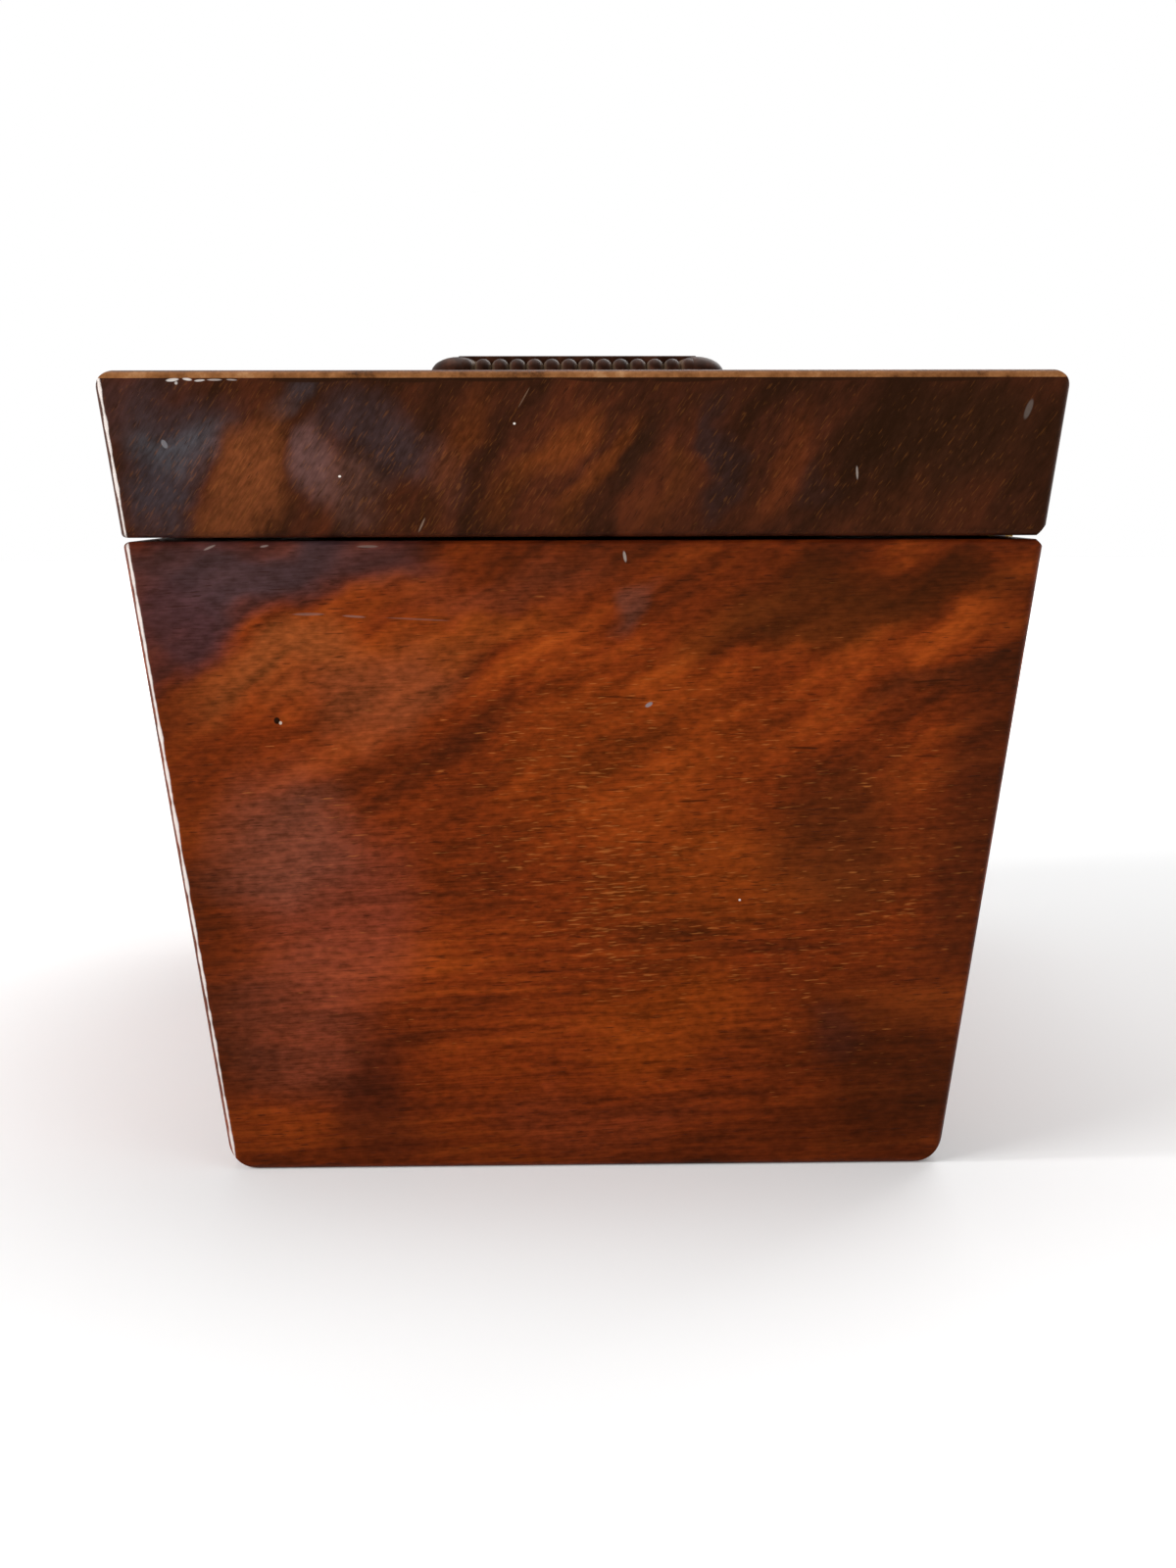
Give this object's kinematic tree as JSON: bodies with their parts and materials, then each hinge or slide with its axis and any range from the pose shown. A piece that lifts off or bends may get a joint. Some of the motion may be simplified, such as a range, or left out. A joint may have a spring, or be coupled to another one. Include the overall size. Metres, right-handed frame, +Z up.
{
  "type": "sarcophagus box",
  "caption": "Tapering mahogany sarcophagus box with a hinged lid, a carved gadrooned lid handle, a lined well, brass butt hinges and a link-plate box lock.",
  "frame": {"origin": "middle of the underside, on the surface that the box stands on", "axes": "+X along the box's length, +Y from its front to its hinged back, +Z up"},
  "size_m": [0.2896, 0.1592, 0.1447],
  "materials": {
    "mahogany_polished": "french polished, figured",
    "mahogany_veneer": "french polished sawn veneer",
    "mahogany_plain": "planed, unpolished",
    "mahogany_liner": "thin waxed boards",
    "ebonised_wood": "carved, dark stained and polished",
    "lining_paper": "plain laid paper, faded",
    "brass": "cast and filed, aged",
    "steel": "drawn and filed, dull"
  },
  "bodies": {
    "base": {"base_back_board": "mahogany_polished", "base_bottom_board": "mahogany_plain", "base_front_board": "mahogany_polished", "base_left_end": "mahogany_polished", "base_right_end": "mahogany_polished", "escutcheon": "brass", "floor_lining": "lining_paper", "hinge_base_screws": "brass", "hinge_left_base_leaf": "brass", "hinge_left_pin": "steel", "hinge_right_base_leaf": "brass", "hinge_right_pin": "steel", "liner_back": "mahogany_liner", "liner_front": "mahogany_liner", "liner_left": "mahogany_liner", "liner_right": "mahogany_liner", "lock_back_plate": "brass", "lock_bolt_studs": "brass", "lock_case": "brass", "lock_key_pin": "brass", "lock_screws": "brass", "lock_spring": "steel"},
    "lid": {"lid_back_rail": "mahogany_polished", "lid_front_rail": "mahogany_polished", "lid_handle": "ebonised_wood", "lid_left_end": "mahogany_polished", "lid_lining": "lining_paper", "lid_right_end": "mahogany_polished", "lid_top_core": "mahogany_plain", "lid_top_veneer": "mahogany_veneer", "handle_screws": "brass", "hinge_lid_screws": "brass", "hinge_left_lid_leaf": "brass", "hinge_right_lid_leaf": "brass", "link_plate": "brass", "link_plate_screws": "brass"},
    "bolt": {"lock_bolt": "brass"}
  },
  "joints": [
    {"name": "lid_hinge", "type": "hinge", "parent": "base", "child": "lid", "pos_m": [0, 0.0749, 0.11], "axis": [-1, 0, 0], "range_deg": [0, 100]},
    {"name": "lock_bolt_slide", "type": "slide", "parent": "base", "child": "bolt", "axis": [1, 0, 0], "range_m": [0, 0.006]}
  ]
}
